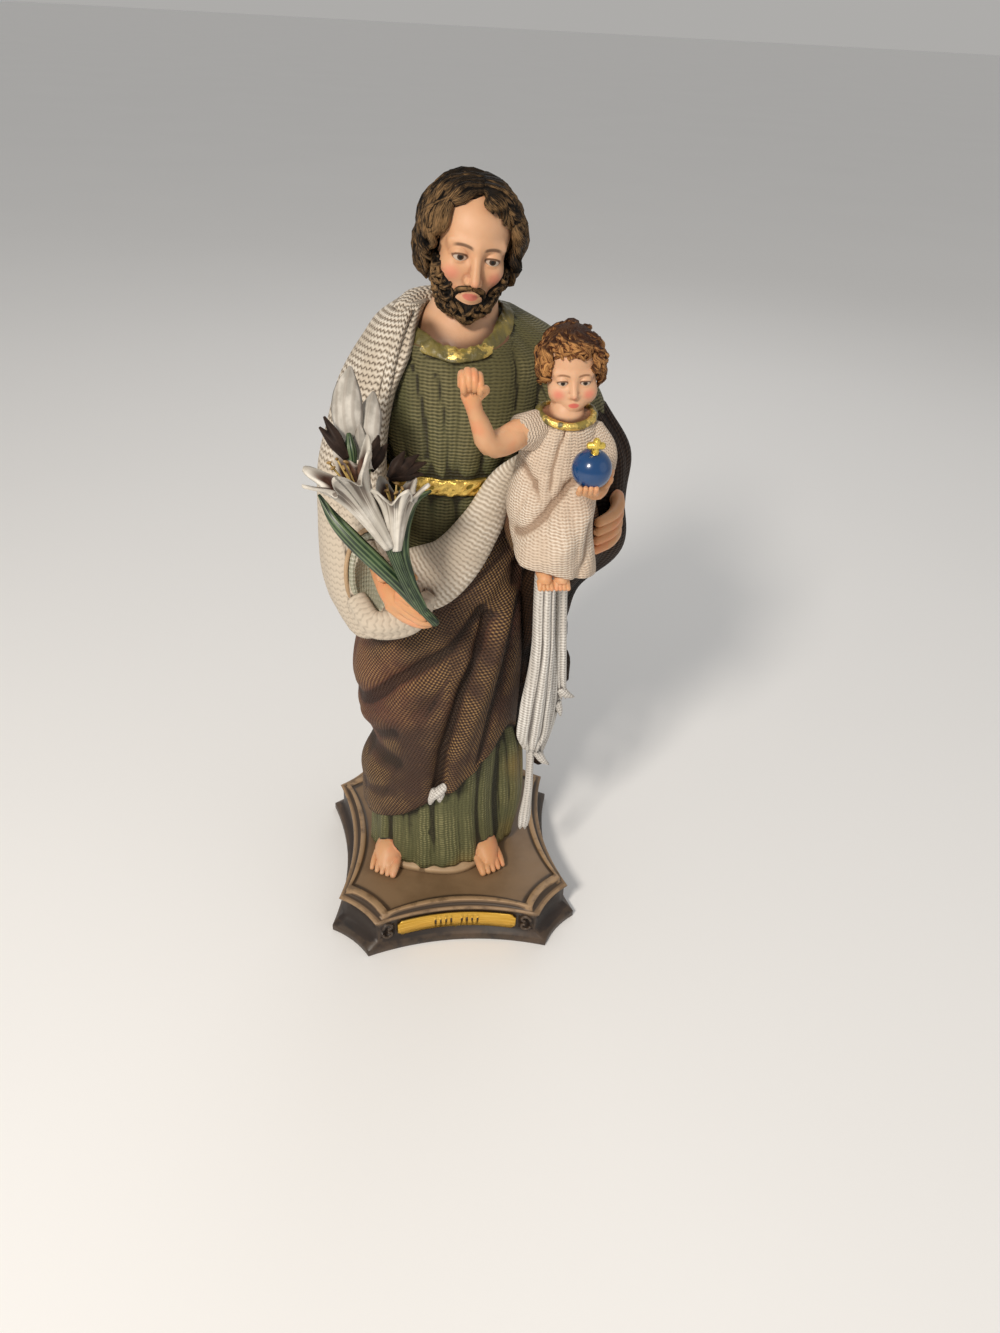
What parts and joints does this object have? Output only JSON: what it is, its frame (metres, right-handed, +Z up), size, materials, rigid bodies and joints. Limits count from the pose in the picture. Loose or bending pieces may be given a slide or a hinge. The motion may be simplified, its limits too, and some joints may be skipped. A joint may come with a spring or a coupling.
{
  "type": "saint joseph statue",
  "caption": "Standing saint in draped robes holding a seated child and a lily spray, on a square base with hollow-curved sides.",
  "frame": {"origin": "middle of the base's underside", "axes": "+Z up through the figure, -Y out of the front with the name plate, +X to the viewer's right when facing the front"},
  "size_m": [0.1201, 0.137, 0.3036],
  "materials": {
    "painted_figure": "hand-painted cast resin, satin, with a dark wash in the hollows",
    "painted_lily": "painted cast resin, satin",
    "brown_base": "cast resin with a brown stain, satin",
    "gilt_plate": "thin gilt plate, brushed"
  },
  "bodies": {
    "root": {"saint_joseph_and_child": "painted_figure", "lily_spray": "painted_lily", "plinth": "brown_base", "name_plate": "gilt_plate"}
  },
  "joints": []
}
